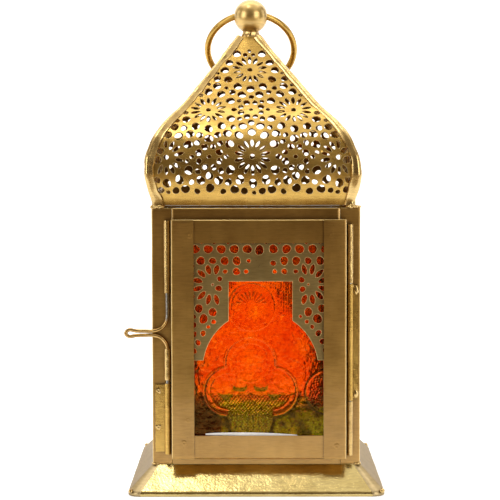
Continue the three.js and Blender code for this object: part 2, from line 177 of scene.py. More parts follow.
def merge(*shapes):
    """Joins several (vertices, faces) into one."""
    vertices, faces, start = [], [], 0
    for points, polygons in shapes:
        vertices.append(points)
        faces += [tuple(i + start for i in polygon) for polygon in polygons]
        start += len(points)
    return np.concatenate(vertices), faces


def lathe(profile, segments, place=(0, 0)):
    """A closed outline of (radius, height) turned about an upright axis."""
    r, z = np.array(profile, float).T
    rings = []
    for angle in full_turn(segments):
        c, s = math.cos(angle), math.sin(angle)
        rings.append(np.stack([place[0] + r * c, place[1] + r * s, z], 1))
    return loft(rings, joined=True)


def wire_ring(centre, radius, side, other):
    """One ring of a round wire, in the plane of two unit directions."""
    angles = full_turn(20)
    return centre + radius * (np.cos(angles)[:, None] * side + np.sin(angles)[:, None] * other)


def sweep(path, radius):
    """A round wire along a path."""
    ahead = tangents(path)
    side = np.cross(ahead[0], (0.123, 0.456, 0.881))  # any direction off the path will do
    rings = []
    for point, tangent in zip(path, ahead):
        side = side - tangent * side.dot(tangent)
        side /= np.linalg.norm(side)
        rings.append(wire_ring(point, radius, side, np.cross(tangent, side)))
    return loft(rings)


def smooth_path(points, steps):
    """A Catmull-Rom curve through the points."""
    points = np.asarray(points, float)
    padded = np.vstack([2 * points[0] - points[1], points, 2 * points[-1] - points[-2]])
    out = []
    for i in range(len(points) - 1):
        p0, p1, p2, p3 = padded[i : i + 4]
        square, cube = 2 * p0 - 5 * p1 + 4 * p2 - p3, 3 * p1 - p0 - 3 * p2 + p3
        t = np.arange(steps)[:, None] / steps
        out.append(0.5 * (2 * p1 + (p2 - p0) * t + square * t * t + cube * t**3))
    return np.concatenate([*out, points[-1:]])


def add_object(name, data):
    thing = bpy.data.objects.new(name, data)
    bpy.context.scene.collection.objects.link(thing)
    return thing


def add_piece(name, shape, body, material, replaced=(), sharp=40, bevel=0, rim=None):
    """A Blender piece from (vertices in mm, faces), riding on a body; rim is the material of its bevels."""
    vertices, faces = shape
    mesh = bpy.data.meshes.new(name)
    mesh.from_pydata((np.asarray(vertices) * MM).tolist(), [], faces)
    skin = bmesh.new()
    skin.from_mesh(mesh)
    bmesh.ops.remove_doubles(skin, verts=skin.verts, dist=1e-7)
    bmesh.ops.recalc_face_normals(skin, faces=skin.faces)
    skin.to_mesh(mesh)
    skin.free()
    mesh.materials.append(material)
    if rim:
        mesh.materials.append(rim)
    mesh.shade_smooth()
    mesh.set_sharp_from_angle(angle=math.radians(sharp))
    piece = add_object(name, mesh)
    if bevel:
        add_bevel(piece, bevel).material = 1 if rim else -1
    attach(piece, body)
    if replaced:
        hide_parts(*replaced)
    return piece


def add_bevel(piece, width):
    bevel = piece.modifiers.new("Bevel", "BEVEL")
    bevel.width = width * MM
    bevel.segments = 2
    bevel.limit_method = "ANGLE"
    bevel.angle_limit = math.radians(50)
    bevel.harden_normals = True
    return bevel


# Piercing: holes cut in sheet metal


def inside(points, polygon):
    """Which of the points lie inside the polygon."""
    x, y = points[:, 0], points[:, 1]
    result = np.zeros(len(points), bool)
    for (x0, y0), (x1, y1) in zip(polygon, np.roll(polygon, -1, axis=0)):
        if y0 == y1:
            continue
        crosses = (y0 > y) != (y1 > y)
        result ^= crosses & (x < x0 + (y - y0) * (x1 - x0) / (y1 - y0))
    return result


def rectangle(x0, x1, z0, z1):
    return np.array([(x0, z0), (x1, z0), (x1, z1), (x0, z1)])


def oval(centre, along, across, angle, pointed=0.0):
    """A hand-cut oval, not quite true."""
    t = full_turn(18)
    shift = centre[0] * 1.7 + centre[1] * 2.9
    wobble = 1 + 0.05 * np.sin(2 * t + shift) + 0.04 * np.sin(3 * t + 2 * shift)
    u = along / 2 * np.cos(t) * wobble
    v = across / 2 * np.sin(t) * np.abs(np.sin(t)) ** pointed * wobble
    c, s = math.cos(angle), math.sin(angle)
    return np.stack([centre[0] + u * c - v * s, centre[1] + u * s + v * c], 1)


def around(centre, radius, angle):
    return (centre[0] + radius * math.cos(angle), centre[1] + radius * math.sin(angle))


class Piercing:
    """Holes in a region of sheet, each with a web of metal to its neighbours."""

    def __init__(self, region, barred=(), margin=2.8, web=0.85):
        self.region = np.asarray(region, float)
        self.barred = [np.asarray(b, float) for b in barred]
        self.margin, self.web = margin, web
        self.polygons, self.discs = [], []

    def is_clear(self, polygon):
        if not inside(polygon, self.region).all():
            return False
        for bar in self.barred:
            if inside(polygon, bar).any() or nearest(polygon, bar) < self.margin:
                return False
        centre = polygon.mean(0)
        reach = np.linalg.norm(polygon - centre, axis=1).max()
        for other, (middle, size) in zip(self.polygons, self.discs):
            apart = np.linalg.norm(middle - centre)
            if apart > reach + size + self.web:
                continue
            if apart < max(reach, size) * 0.75 or nearest(polygon, other) < self.web:
                return False
        return True

    def cut(self, centre, along, across, angle, pointed=0.0, sizes=(1, 0.82, 0.66, 0.5)):
        for size in sizes:
            polygon = oval(centre, along * size, across * size, angle, pointed=pointed)
            if self.is_clear(polygon):
                self.polygons.append(polygon)
                self.discs.append((polygon.mean(0), np.linalg.norm(polygon - polygon.mean(0), axis=1).max()))
                return

    def rosette(self, centre):
        inner, outer, petals = 4.1, 8.8, 14
        self.cut(centre, 2.6, 2.4, 0.3)
        for k in range(petals):
            angle = 2 * math.pi * (k + 0.5) / petals
            middle = around(centre, (inner + outer) / 2, angle)
            self.cut(middle, outer - inner, 1.85, angle, pointed=0.3, sizes=(1, 0.85))

    def ring(self, centre, radius, count, size, start=0.0, stretch=1.0):
        for k in range(count):
            angle = start + 2 * math.pi * k / count
            self.cut(around(centre, radius, angle), size * stretch, size, angle)

    def fill(self, smallest, largest, seed, web):
        """Puts round holes in what is left, the roomiest places first."""
        low, high = self.region.min(0), self.region.max(0)
        steps = [np.arange(low[i], high[i], 0.5) for i in (0, 1)]
        spots = np.stack(np.meshgrid(*steps), -1).reshape(-1, 2)
        spots = spots[inside(spots, self.region)]
        room = distance_field(spots, dense(self.region))
        for bar in self.barred:
            room = np.minimum(room, distance_field(spots, dense(bar)) - self.margin)
            room[inside(spots, bar)] = 0
        for polygon in self.polygons:
            room = np.minimum(room, distance_field(spots, polygon) - web)
            room[inside(spots, polygon)] = 0
        for count in range(200):
            best = int(np.argmax(np.minimum(room, largest)))
            radius = min(room[best], largest)
            if radius < smallest:
                return
            centre = spots[best]
            stretch = 1 + 0.12 * math.sin(seed + count * 2.4)
            hole = oval(centre, 2 * radius, 2 * radius / stretch, seed + count * 1.7)
            self.polygons.append(hole)
            self.discs.append((centre, radius))
            room = np.minimum(room, np.linalg.norm(spots - centre, axis=1) - radius - web)


def nearest(a, b):
    return np.linalg.norm(a[:, None] - b[None], axis=2).min()


def distance_field(spots, line):
    best = np.full(len(spots), 1e9)
    for point in line:
        best = np.minimum(best, np.hypot(spots[:, 0] - point[0], spots[:, 1] - point[1]))
    return best


def dense(polygon, step=0.6):
    """The polygon's outline with points no further apart than step."""
    out = []
    for a, b in zip(polygon, np.roll(polygon, -1, axis=0)):
        count = max(1, math.ceil(np.linalg.norm(b - a) / step))
        out += [a + (b - a) * k / count for k in range(count)]
    return np.array(out)


def pierced_sheet(outline, holes, place, thickness, spacing=2.4):
    """A sheet with holes. place(points, depth) gives where flat points go, depth in mm behind its face."""
    outlines = [dense(np.asarray(outline, float), spacing)] + [np.asarray(h, float) for h in holes]
    points, edges = [], []
    for line in outlines:
        start = len(points)
        points += [tuple(p) for p in line]
        edges += [(start + i, start + (i + 1) % len(line)) for i in range(len(line))]
    low, high = outlines[0].min(0), outlines[0].max(0)
    steps = [np.arange(low[i] + spacing / 2, high[i], spacing) for i in (0, 1)]
    grid = np.stack(np.meshgrid(*steps), -1).reshape(-1, 2)
    grid = grid[inside(grid, outlines[0])]
    grid = grid[distance_field(grid, np.array(points)) > spacing * 0.45]
    points += [tuple(p) for p in grid]
    flat, _, triangles, *_ = delaunay_2d_cdt([Vector(p) for p in points], edges, [], 0, 1e-5)
    flat = np.array([tuple(p) for p in flat])
    triangles = np.array([tuple(t) for t in triangles])
    centres = flat[triangles].mean(1)
    kept = inside(centres, outlines[0])
    for hole in outlines[1:]:
        kept &= ~inside(centres, hole)
    triangles = triangles[kept]
    uses = {(int(t[k]), int(t[(k + 1) % 3])): True for t in triangles for k in range(3)}
    rim = [(a, b) for a, b in uses if (b, a) not in uses]
    count = len(flat)
    faces = [tuple(int(i) for i in t) for t in triangles]
    faces += [tuple(int(i) + count for i in t[::-1]) for t in triangles]
    faces += [(b, a, a + count, b + count) for a, b in rim]
    vertices = np.concatenate([place(flat, 0.0), place(flat, thickness)])
    used = sorted({i for face in faces for i in face})
    renumber = {old: new for new, old in enumerate(used)}
    return vertices[used], [tuple(renumber[i] for i in face) for face in faces]


# Materials


def plug(tree, node, **inputs):
    """Sets a node's inputs, or links them from sockets: Base_Color is Base Color, and i6 is number 6."""
    for key, value in inputs.items():
        by_number = key[0] == "i" and key[1:].isdigit()
        socket = node.inputs[int(key[1:]) if by_number else key.replace("_", " ")]
        if isinstance(value, bpy.types.NodeSocket):
            tree.links.new(value, socket)
        else:
            socket.default_value = value
    return node


def add_node(tree, kind, settings=None, **inputs):
    node = tree.nodes.new(kind)
    for key, value in (settings or {}).items():
        setattr(node, key, value)
    return plug(tree, node, **inputs)


def ramp(tree, factor, *stops):
    """A colour ramp's output; stops are (place, colour or grey)."""
    node = add_node(tree, "ShaderNodeValToRGB", Fac=factor)
    elements = node.color_ramp.elements
    while len(elements) < len(stops):
        elements.new(0.5)
    for element, (place, colour) in zip(elements, stops):
        element.position = place
        element.color = (*((colour,) * 3 if isinstance(colour, (int, float)) else colour), 1)
    return node.outputs[0]


def mix(tree, factor, a, b, blend="MIX"):
    a, b = (colour if isinstance(colour, bpy.types.NodeSocket) else (*colour, 1) for colour in (a, b))
    settings = {"data_type": "RGBA", "blend_type": blend}
    return add_node(tree, "ShaderNodeMix", settings, i0=factor, i6=a, i7=b).outputs[2]


def darken(tree, tone, factor, *stops):
    """The tone times a colour ramp."""
    return mix(tree, 1.0, tone, ramp(tree, factor, *stops), "MULTIPLY")


def spread(tree, value, low, high):
    """Stretches 0 to 1 over low to high."""
    return add_node(tree, "ShaderNodeMapRange", Value=value, To_Min=low, To_Max=high).outputs[0]


def new_material(name):
    material = bpy.data.materials.new(name)
    material.use_nodes = True
    tree = material.node_tree
    tree.nodes.clear()
    shader = add_node(tree, "ShaderNodeBsdfPrincipled")
    output = add_node(tree, "ShaderNodeOutputMaterial")
    tree.links.new(shader.outputs[0], output.inputs[0])
    place = add_node(tree, "ShaderNodeTexCoord").outputs["Object"]
    return material, tree, shader, place


def noise(tree, place, size, detail=2.0, stretch=None):
    """Noise whose lumps are about size mm across."""
    if stretch:
        place = add_node(tree, "ShaderNodeMapping", Vector=place, Scale=stretch).outputs[0]
    return add_node(tree, "ShaderNodeTexNoise", Vector=place, Scale=1000 / size, Detail=detail).outputs["Fac"]


def bumps(tree, *layers):
    """Chained bump nodes from (height, depth in mm, strength)."""
    normal = None
    for height, depth, strength in layers:
        node = add_node(tree, "ShaderNodeBump", Height=height, Distance=depth * MM, Strength=strength)
        if normal:
            tree.links.new(normal, node.inputs["Normal"])
        normal = node.outputs[0]
    return normal


def metallic_paint(
    name, light, deep, roughness, lumps=0.25, crevice_shade=0.4, metallic=1.0, coat=0.7, edge=(1, 1, 1), pebble=0.0
):
    """Sprayed metallic paint: mottled, brushed, pitted, with painted shade darkening its crevices; pebble mm
    deep if beaten.
    """
    material, tree, shader, place = new_material(name)
    mottle = noise(tree, place, 16, 4)
    tone = ramp(tree, mottle, (0.32, deep), (0.68, light))
    streak = noise(tree, place, 5, 3, (1.0, 1.0, 0.25))
    tone = mix(tree, 0.35, tone, ramp(tree, streak, (0.35, deep), (0.65, light)))
    fine = noise(tree, place, 0.7, 2, (0.15, 0.15, 1.0))
    tone = darken(tree, tone, fine, (0.3, 0.84), (0.62, 1.0))
    pits = add_node(tree, "ShaderNodeTexVoronoi", Vector=place, Scale=420.0).outputs["Distance"]
    tone = darken(tree, tone, pits, (0.03, 0.5), (0.09, 1.0))
    # Painted shade: ambient occlusion darkens the paint in crevices, between parts and near the floor.
    shade = add_node(tree, "ShaderNodeAmbientOcclusion", {"samples": 6}, Distance=0.0035).outputs["AO"]
    tone = darken(tree, tone, shade, (0.25, crevice_shade), (0.85, 1.0))
    layers = [(noise(tree, place, 11, 2), 0.35, lumps), (fine, 0.06, 0.35), (pits, 0.05, 0.3)]
    if pebble:
        layers.append((noise(tree, place, 1.1, 3), pebble, 1.0))
    normal = bumps(tree, *layers)
    plug(
        tree, shader, Base_Color=tone, Metallic=metallic, Roughness=spread(tree, mottle, *roughness),
        Normal=normal, Specular_Tint=(*edge, 1), Coat_Weight=coat, Coat_Roughness=0.16, Coat_Normal=normal,
    )
    return material


def wire_metal(name):
    """Plain steel wire that was painted in place: bare where it slides, gold elsewhere."""
    material, tree, shader, place = new_material(name)
    height = add_node(tree, "ShaderNodeSeparateXYZ", Vector=place).outputs[2]
    ragged = noise(tree, place, 2.5, 3)
    add = {"operation": "MULTIPLY_ADD"}
    level = add_node(tree, "ShaderNodeMath", add, i0=ragged, i1=0.0016, i2=height).outputs[0]
    level = add_node(tree, "ShaderNodeMath", add, i0=level, i1=5.0, i2=-0.004).outputs[0]
    bare = ramp(tree, level, (0.30, 1.0), (0.31, 0.0), (0.415, 0.0), (0.425, 1.0))
    steel = ramp(tree, noise(tree, place, 1.5, 3), (0.3, (0.23, 0.22, 0.2)), (0.7, (0.42, 0.41, 0.38)))
    gold = ramp(tree, noise(tree, place, 3, 3), (0.3, (0.38, 0.23, 0.07)), (0.7, (0.60, 0.39, 0.15)))
    plug(
        tree, shader, Base_Color=mix(tree, bare, gold, steel), Metallic=1.0,
        Roughness=spread(tree, ragged, 0.14, 0.3),
        Normal=bumps(tree, (noise(tree, place, 0.6, 2), 0.03, 0.4)),
    )
    return material


def pressed_glass(name):
    """Orange pressed glass that turns olive green and maroon towards its foot, with painted highlights on its
    pattern.
    """
    material, tree, shader, place = new_material(name)
    tints = {
        key: add_node(tree, "ShaderNodeAttribute", {"attribute_name": key}).outputs["Fac"]
        for key in ("foot", "green", "dark", "painted_glint")
    }
    cloud, speck = noise(tree, place, 8, 4), noise(tree, place, 1.3, 2)
    red, orange, amber = (0.72, 0.12, 0.005), (0.79, 0.19, 0.008), (0.86, 0.34, 0.015)
    green, lime, straw = (0.42, 0.56, 0.015), (0.78, 0.88, 0.03), (1.0, 1.0, 0.12)
    flame = ramp(tree, cloud, (0.3, red), (0.5, orange), (0.7, amber))
    olive = ramp(tree, speck, (0.35, green), (0.5, lime), (0.62, straw))
    maroon = ramp(tree, speck, (0.4, (0.26, 0.035, 0.01)), (0.7, (0.62, 0.16, 0.015)))
    tone = mix(tree, tints["foot"], flame, mix(tree, tints["green"], maroon, olive))
    tone = darken(tree, tone, speck, (0.33, (0.66, 0.4, 0.3)), (0.45, 1.0))
    tone = mix(tree, tints["dark"], tone, mix(tree, 1.0, tone, (0.16, 0.13, 0.1), "MULTIPLY"))
    # Painted highlight: bright yellow-orange where the pattern's lines and spots are marked.
    tone = mix(tree, tints["painted_glint"], tone, (1.0, 0.5, 0.04))
    plug(
        tree, shader, Base_Color=tone, Transmission_Weight=1.0, IOR=1.48, Specular_IOR_Level=0.2,
        Specular_Tint=(1.0, 0.55, 0.12, 1), Roughness=spread(tree, noise(tree, place, 4, 2), 0.02, 0.18),
        Normal=bumps(tree, (noise(tree, place, 1.1, 3), 0.3, 0.45)),
    )
    return material


def tin(name):
    """Bright tinplate with faint turning marks."""
    material, tree, shader, place = new_material(name)
    patches = noise(tree, place, 6, 3)
    tone = ramp(tree, patches, (0.3, (0.74, 0.73, 0.70)), (0.7, (0.92, 0.91, 0.88)))
    plug(
        tree, shader, Base_Color=tone, Metallic=0.2, Roughness=spread(tree, patches, 0.3, 0.5),
        Normal=bumps(tree, (noise(tree, place, 1, 2, (1, 1, 6)), 0.04, 0.3)),
    )
    return material


def plain_paper(name):
    material, tree, shader, place = new_material(name)
    tone = ramp(tree, noise(tree, place, 60, 2), (0.3, 0.86), (0.7, 0.89))
    plug(tree, shader, Base_Color=tone, Roughness=0.9, Emission_Color=(1, 1, 1, 1), Emission_Strength=0.45)
    return material


GOLD_PAINT = metallic_paint("gold_paint", (0.45, 0.257, 0.062), (0.345, 0.187, 0.039), (0.28, 0.38))
FRET_PAINT = metallic_paint("fret_paint", (0.33, 0.235, 0.085), (0.26, 0.175, 0.06), (0.32, 0.42))
BRIGHT_GOLD = metallic_paint(
    "bright_gold", (0.66, 0.42, 0.105), (0.48, 0.29, 0.06), (0.2, 0.34), lumps=0.4, coat=0.2
)
# Lighter paint for bevels, hole rims and bends: edge wear and painted highlight.
WEAR_AND_HIGHLIGHT_GOLD = metallic_paint("wear_and_highlight_gold", (0.88, 0.68, 0.28), (0.76, 0.55, 0.20), (0.3, 0.4), crevice_shade=0.8)
# Painted shade: a darker copy of the roof paint for the faces that look in and down.
SHADED_INNER_GOLD = metallic_paint(
    "shaded_inner_gold", (0.24, 0.125, 0.03), (0.14, 0.07, 0.016), (0.4, 0.55), coat=0.0, edge=(0.4, 0.27, 0.15)
)
BASE_GOLD = metallic_paint(
    "base_gold", (0.68, 0.53, 0.20), (0.56, 0.41, 0.13), (0.15, 0.24), lumps=0.3, crevice_shade=0.8, pebble=0.075
)
# Painted shade and reflection: a darker, greyer copy of the base paint for the side skirts.
SHADED_SIDE_GOLD = metallic_paint(
    "shaded_side_gold", (0.53, 0.41, 0.215), (0.45, 0.335, 0.165), (0.32, 0.44), coat=0.0, edge=(0.47, 0.45, 0.45),
    crevice_shade=0.7, pebble=0.02,
)
SOLDER_GOLD = metallic_paint("solder_gold", (0.78, 0.56, 0.21), (0.48, 0.30, 0.09), (0.18, 0.3), lumps=0.6)
FINIAL_GOLD = metallic_paint(
    "finial_gold", (0.72, 0.50, 0.175), (0.56, 0.365, 0.11), (0.28, 0.38), lumps=0.15
)
# Painted light: a pale, yellow, less metallic paint that brightens the inner parts seen through the glass.
LIT_INNER_PAINT = metallic_paint("lit_inner_paint", (0.90, 0.80, 0.32), (0.72, 0.62, 0.20), (0.45, 0.6), metallic=0.2)
WIRE = wire_metal("latch_wire_metal")
STEEL = wire_metal("clip_steel")
GLASS = pressed_glass("pressed_glass")
TIN = tin("tinplate")


# Roof


class RoofSurface:
    """The roof's outer face, by distance along its slope from the eaves."""

    def __init__(self):
        self.curve = smooth_path(ROOF_PROFILE, 16)
        steps = np.linalg.norm(np.diff(self.curve, axis=0), axis=1)
        self.along = np.concatenate([[0], np.cumsum(steps)])
        self.out = outward(self.curve)
        self.length = self.along[-1]

    def at(self, s, table):
        return np.stack([np.interp(s, self.along, table[:, i]) for i in (0, 1)], -1)

    def half_width(self, s):
        return np.interp(s, self.along, self.curve[:, 0])

    def slope_distance(self, height):
        return float(np.interp(height, self.curve[:, 1], self.along))

    def place(self, points, depth):
        """Lays flat points on the front slope, depth mm behind its bowed and dented face."""
        on, out = self.at(points[:, 1], self.curve), self.at(points[:, 1], self.out)
        flat = np.stack([points[:, 0], -on[:, 0], on[:, 1]], 1)
        bow = 1.4 * (1 - (points[:, 0] / on[:, 0]) ** 2) * clamp(on[:, 0] / 50)
        dent = bow + 0.2 * value_noise(flat, 19, 3) + 0.06 * value_noise(flat, 6, 4) - depth
        flat[:, 1] -= out[:, 0] * dent
        flat[:, 2] += out[:, 1] * dent
        return flat


def roof_outline(roof, inset, low, high):
    """One panel laid flat, from low to high up its slope."""
    slope = np.linspace(low, high, 60)
    half = roof.half_width(slope) - inset
    right = np.stack([half, slope], 1)
    left = np.stack([-half, slope], 1)[::-1]
    return np.concatenate([right, left])


def roof_holes(roof):
    """Rosettes and small flowers in staggered rows, rings round them, and round holes between."""
    region = roof_outline(roof, 2.9, 5.6, roof.length - 8.2)
    piercing = Piercing(region)
    rows = [roof.slope_distance(z) for z in ROSETTE_HEIGHTS]
    row_gap = rows[1] - rows[0]
    rows = [rows[0] - row_gap] + rows
    rosettes, flowers = [], []
    for k, s in enumerate(rows):
        for i in range(-3, 4):
            (rosettes if (i + k) % 2 else flowers).append((i * ROSETTE_PITCH / 2, s))
    for centre in rosettes:
        piercing.rosette(centre)
    for centre in flowers:
        piercing.cut(centre, 2.0, 1.8, 0.4)
        piercing.ring(centre, 5.3, 8, 3.3, math.pi / 8)
    for centre in rosettes:
        piercing.ring(centre, 12.4, 12, 4.0, 0.0, 1.08)
    for centre in rosettes:
        piercing.ring(centre, 16.6, 12, 4.2, math.pi / 12, 0.95)
    row = roof.slope_distance(145.6)
    for i in range(-8, 9):
        piercing.cut((i * 5.2, row), 3.7, 3.7, 0, sizes=(1, 0.8))
    piercing.fill(0.95, 2.1, 5, 0.95)
    return piercing.polygons


def build_roof_panels():
    """The four panels, with painted shade: darker paint on the faces that look in and down."""
    roof = RoofSurface()
    outline = roof_outline(roof, 1.0, 0, roof.length)
    shape = pierced_sheet(outline, roof_holes(roof), roof.place, SHEET)
    for k, side in enumerate(SIDES):
        turned = (lean(turn_z(shape[0], k)), shape[1])
        # The panel's bevels take the lighter rim paint: edge wear and painted highlight.
        panel = add_piece(
            f"pierced_roof_{side}", turned, "body", BRIGHT_GOLD, [f"roof_panel_{side}"],
            bevel=0.2, rim=WEAR_AND_HIGHLIGHT_GOLD,
        )
        # Painted shade: faces turned in and down get the darker paint.
        panel.data.materials.append(SHADED_INNER_GOLD)
        inward = Vector(turn_z([(0, 0.857, -0.515)], k)[0])
        for face in panel.data.polygons:
            if face.normal.dot(inward) > 0.6:
                face.material_index = 2


def build_roof_hips():
    """A folded seam along each hip, lumpy where it was soldered."""
    roof = RoofSurface()
    spots = np.linspace(0, roof.length, 150)
    ridge = roof.at(spots, roof.curve) * (math.sqrt(2), 1)
    section = [(-2.5, -1.6), (-2.6, -1.0), (-1.7, -0.45), (-1.35, 0.35), (-0.8, 0.85), (0, 1.0)]
    section = section + [(-t, h) for t, h in section[-2::-1]]
    for k, corner in enumerate(CORNERS):
        rings = []
        for spot, (r, z), (nr, nz) in zip(spots, ridge, outward(ridge)):
            centre = (spot, k * 40.0, 0.0)
            swell = 1.3 - 0.35 * min(1.0, (z - 138) / 60)
            swell += 0.16 * noise_at(centre, 9, 11) + 0.12 * noise_at(centre, 3.1, 12)
            rise = 0.3 * max(0.0, noise_at(centre, 6, 13))
            ring = [(t * swell, h * swell + (rise if h > 0 else 0), h * swell) for t, h in section]
            rings.append(np.array([(across, -(r + up * nr), z + lift * nz) for across, up, lift in ring]))
        vertices, faces = loft(rings)
        shape, node = (lean(turn_z(vertices, k - 0.5)), faces), f"roof_hip_{corner}"
        add_piece(f"roof_seam_{corner}", shape, "body", SOLDER_GOLD, [node], 55)


# Fretwork and glass


def keyhole(x, window_x):
    neck = math.acos(NECK_HALF / BULB_RADIUS)
    step = math.asin((STEP_Z - BULB_Z) / BULB_RADIUS)
    right = [around((x, BULB_Z), BULB_RADIUS, a) for a in np.linspace(step, neck, 12)]
    left = [(2 * x - u, v) for u, v in reversed(right)]
    sill = [window_x - WINDOW_HALF, window_x + WINDOW_HALF]
    low = [(sill[0], WINDOW_BOTTOM), (sill[1], WINDOW_BOTTOM), (sill[1], STEP_Z)]
    top = [(x + NECK_HALF, NECK_TOP), (x - NECK_HALF, NECK_TOP)]
    return np.array(low + right + top + left + [(sill[0], STEP_Z)])


def fretwork_holes(x, window_x):
    """Part rosettes in the upper corners, rows along the top and round holes between."""
    cut = keyhole(x, window_x)
    region = rectangle(x - WINDOW_HALF - 2.5, x + WINDOW_HALF + 2.5, STEP_Z + 2, WINDOW_TOP + 2.2)
    brow = rectangle(x - 1.6, x + 1.6, NECK_TOP, 111.5)
    piercing = Piercing(region, [dense(cut, 0.8), dense(brow)], margin=3.1, web=0.9)
    centres = [(x - 22.8, 101), (x + 22.8, 101)]
    for centre, side in zip(centres, (1, -1)):
        piercing.cut(centre, 1.1, 1.1, 0)
        for k in range(12):
            angle = 2 * math.pi * (k + 0.5) / 12
            if math.cos(angle) * side < 0.3:
                piercing.cut(around(centre, 7.4, angle), 5.0, 2.5, angle, pointed=0.3, sizes=(1, 0.85))
    piercing.cut((x - 0.5, 117.4), 5.0, 3.9, math.pi / 2)
    for side in (1, -1):
        for k in range(5):
            piercing.cut((x + side * (6.2 + 6.2 * k), 117.9), 4.3, 4.1, k)
            piercing.cut((x + side * (5.6 + 5.7 * k), 112.3), 4.1, 3.8, 2 * k)
        for apart, size in ((11.4, 4.2), (6.8, 2.1), (16.8, 2.2)):
            piercing.cut((x + side * apart, 107.2), size, size, apart)
    for radius, start, size in ((13.2, 0, 3.8), (17, math.pi / 12, 4.2), (20.2, 0, 4.2)):
        for centre in centres:
            piercing.ring(centre, radius, 12, size, start, 1.1)
    piercing.fill(0.8, 1.4, 2, 1.5)
    return piercing.polygons


def build_fretwork():
    sheets = {"door_fretwork": ("door", DOOR_KEYHOLE_X, DOOR_WINDOW_X, 0)}
    for k, side in enumerate(SIDES[1:], 1):
        sheets[f"fretwork_{side}"] = ("body", 0.0, 0.0, k)
    for node, (body, x, window_x, turns) in sheets.items():
        low, high = facing_box(node, turns)
        outline = rectangle(low[0], high[0], low[2], high[2])

        def place(points, depth, low=low):
            flat = np.stack([points[:, 0], np.full(len(points), low[1] + depth), points[:, 1]], 1)
            flat[:, 1] += 0.06 * value_noise(flat, 14, 5)
            return flat

        holes = [keyhole(x, window_x)] + fretwork_holes(x, window_x)
        sheet = turn_shape(pierced_sheet(outline, holes, place, high[1] - low[1], 4.0), turns)
        # The sheet's bevels take the lighter rim paint: edge wear and painted highlight.
        add_piece(f"pierced_{node}", sheet, body, FRET_PAINT, [node], bevel=0.15, rim=WEAR_AND_HIGHLIGHT_GOLD)


def outside(x, z, circles):
    """Distance outside the outline of joined circles, each (x, z, radius)."""
    return np.min([np.hypot(x - u, z - v) - r for u, v, r in circles], axis=0)


def crest(distance, width):
    """1 where the distance is 0, fading to 0 at the width."""
    return clamp(1 - np.abs(distance) / width) ** 1.5


def glass_relief(x, z, cx, foot_top):
    """Height of the pressed pattern in mm, and tints: how much foot, how green, how dark, and how much
    painted highlight.

    The pattern is a trefoil on a stem, under a medallion and between two roundels. cx is its middle and
    foot_top the height up to which the glass is green and maroon.
    """
    u, flat = x - cx, np.stack([x, np.zeros_like(x), z], 1)
    apart = np.abs(u)
    ogee = outside(u, z, TREFOIL)
    stem = np.maximum(apart - 8 - 0.29 * np.clip(z - 28.8, 0, 9.3), z - 50)
    big, lobed = np.minimum(ogee, stem), (apart > 10.5) | (z > 50)
    medal, turn = outside(u, z, [MEDALLION]), np.arctan2(z - MEDALLION[1], u - MEDALLION[0])
    side, side_turn = outside(apart, z, [ROUNDEL]), np.arctan2(z - ROUNDEL[1], apart - ROUNDEL[0])
    pebble = value_noise(flat, 1.4, 21) * 0.09 + value_noise(flat, 4.5, 22) * 0.07
    strokes = clamp(np.cos(turn * 22)) * ((medal > -8.5) & (medal < -4)) * (z > 92)
    dashes = clamp(np.cos(x * 5.2)) * clamp(0.4 + np.cos(z * 3.4 + x)) * (medal > 1.2) * (z > 86)
    dots = np.clip(2.2 * np.cos(x * 3.9 + 0.9 * np.sin(z * 0.7)) * np.cos(z * 3.4), -1, 1)
    rays = np.cos(u * (2.6 + 0.06 * (z - 38))) * (z < 38.5) * (big < 0)
    beads = clamp(np.cos(side_turn * 22) * np.cos(side * 4.2)) * (side < -1.6)
    low = z < foot_top
    rim = (ogee < 0.3) & (ogee > -3.2) & lobed
    leaves = low & (z > foot_top - 2.8) & (np.abs(apart - 11.6) < 3.6 - 0.8 * (foot_top - z))
    crescents = np.abs(z - foot_top - 2.2 - 0.09 * (apart - 5) ** 2) < 0.95
    crescents &= np.abs(apart - 5) < 3.1
    bud = np.hypot(u, z - foot_top + 0.6)
    inner = low & (big < 0) & ~rim

    height = 0.45 * crest(big, 0.6) + 0.25 * crest(ogee + 2.6, 0.45) * lobed + 0.3 * crest(medal, 0.55)
    height += 0.2 * crest(medal + 1.8, 0.4) + 0.45 * crest(side, 0.6) + 0.3 * beads + 0.2 * strokes
    height += 0.15 * dashes + 0.12 * dots * inner + 0.2 * rays + pebble

    foot = clamp((foot_top - z + 1.2 * value_noise(flat, 5, 24)) / 1.5)
    spotted = 1.0 - 0.85 * clamp(dots - 0.25) * clamp((z - 37) / 3)
    foot = np.where(inner, clamp((foot_top - 2.4 - z + 0.8 * dots) / 0.8) * spotted, foot)
    foot = np.where(rim | ((side < 0) & (z > 42)), 0.0, foot)
    foot = np.where(leaves | crescents, 1.0, foot)
    green = clamp((u + 16 + 3 * value_noise(flat, 5, 26)) / 4)

    shades = [
        np.where(inner & (z > 37), 0.25 - 0.6 * dots, 0.0) + 0.4 * clamp(-rays),
        1.6 * crest(big - 1.5, 1.7) * (z < foot_top + 1),
        0.7 * crest(big - 0.6, 0.6) * (z < 70),
        0.85 * (leaves | crescents | ((bud > 0.5) & (bud < 1.3))),
        0.65 * dashes + 0.7 * strokes + 0.8 * beads,
        0.8 * crest(side - 0.7, 0.9),
        0.8 * clamp((foot_top - z) / 6) * (u < -14) * (big > 0),
        1.3 * value_noise(flat, 4.2, 29) * low * (big > 0),
    ]
    # Painted highlight: bright lines along the pattern and random bright spots, for light caught on the
    # ridges.
    painted_glint = 0.6 * crest(big, 0.45) + 0.45 * crest(ogee + 2.6, 0.35) * lobed
    painted_glint += 0.4 * crest(medal, 0.4) + 0.3 * crest(side, 0.4) + 0.3 * clamp(rays)
    painted_glint = painted_glint * (0.6 + 0.5 * value_noise(flat, 3.5, 27)) + 3 * clamp(value_noise(flat, 1.5, 28) - 0.72)
    return height, foot, green, clamp(np.max(shades, axis=0)), clamp(painted_glint)


